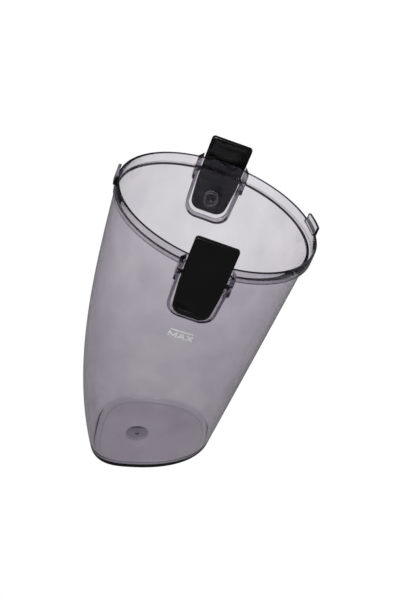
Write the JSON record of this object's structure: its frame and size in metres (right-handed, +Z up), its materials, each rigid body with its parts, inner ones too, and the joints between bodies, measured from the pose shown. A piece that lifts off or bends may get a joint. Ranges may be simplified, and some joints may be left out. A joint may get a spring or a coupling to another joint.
{
  "type": "vacuum cleaner dust bin",
  "caption": "Clear smoke-tinted dust bin for a stick vacuum: a leaning round mouth tapers to a rounded base, with sprung black rocker latches at the sides.",
  "frame": {"origin": "middle of the flat base's length, on the base, on the plane midway between the latches", "axes": "+Z up from the base, +X towards the back, the side that the mouth leans to, latches at +Y (right) and -Y (left)"},
  "size_m": [0.1717, 0.16, 0.2278],
  "materials": {
    "smoke_plastic": "clear smoke-tinted gloss",
    "latch_plastic": "fine satin texture",
    "spring_steel": "drawn wire"
  },
  "bodies": {
    "shell": {"bin_shell": "smoke_plastic", "left_latch_spring": "spring_steel", "right_latch_spring": "spring_steel"},
    "left_latch": {"left_latch": "latch_plastic"},
    "right_latch": {"right_latch": "latch_plastic"}
  },
  "joints": [
    {"name": "left_latch_swing", "type": "hinge", "parent": "shell", "child": "left_latch", "pos_m": [0.04719, -0.0772, 0.18699], "axis": [0.9426, 0, -0.3338], "range_deg": [0, 7], "stiffness_Nm_per_rad": 0.3, "springref_deg": -14.32, "deforming": ["left_latch_spring"]},
    {"name": "right_latch_swing", "type": "hinge", "parent": "shell", "child": "right_latch", "pos_m": [0.04719, 0.0772, 0.18699], "axis": [-0.9426, 0, 0.3338], "range_deg": [0, 7], "stiffness_Nm_per_rad": 0.3, "springref_deg": -14.32, "deforming": ["right_latch_spring"]}
  ]
}
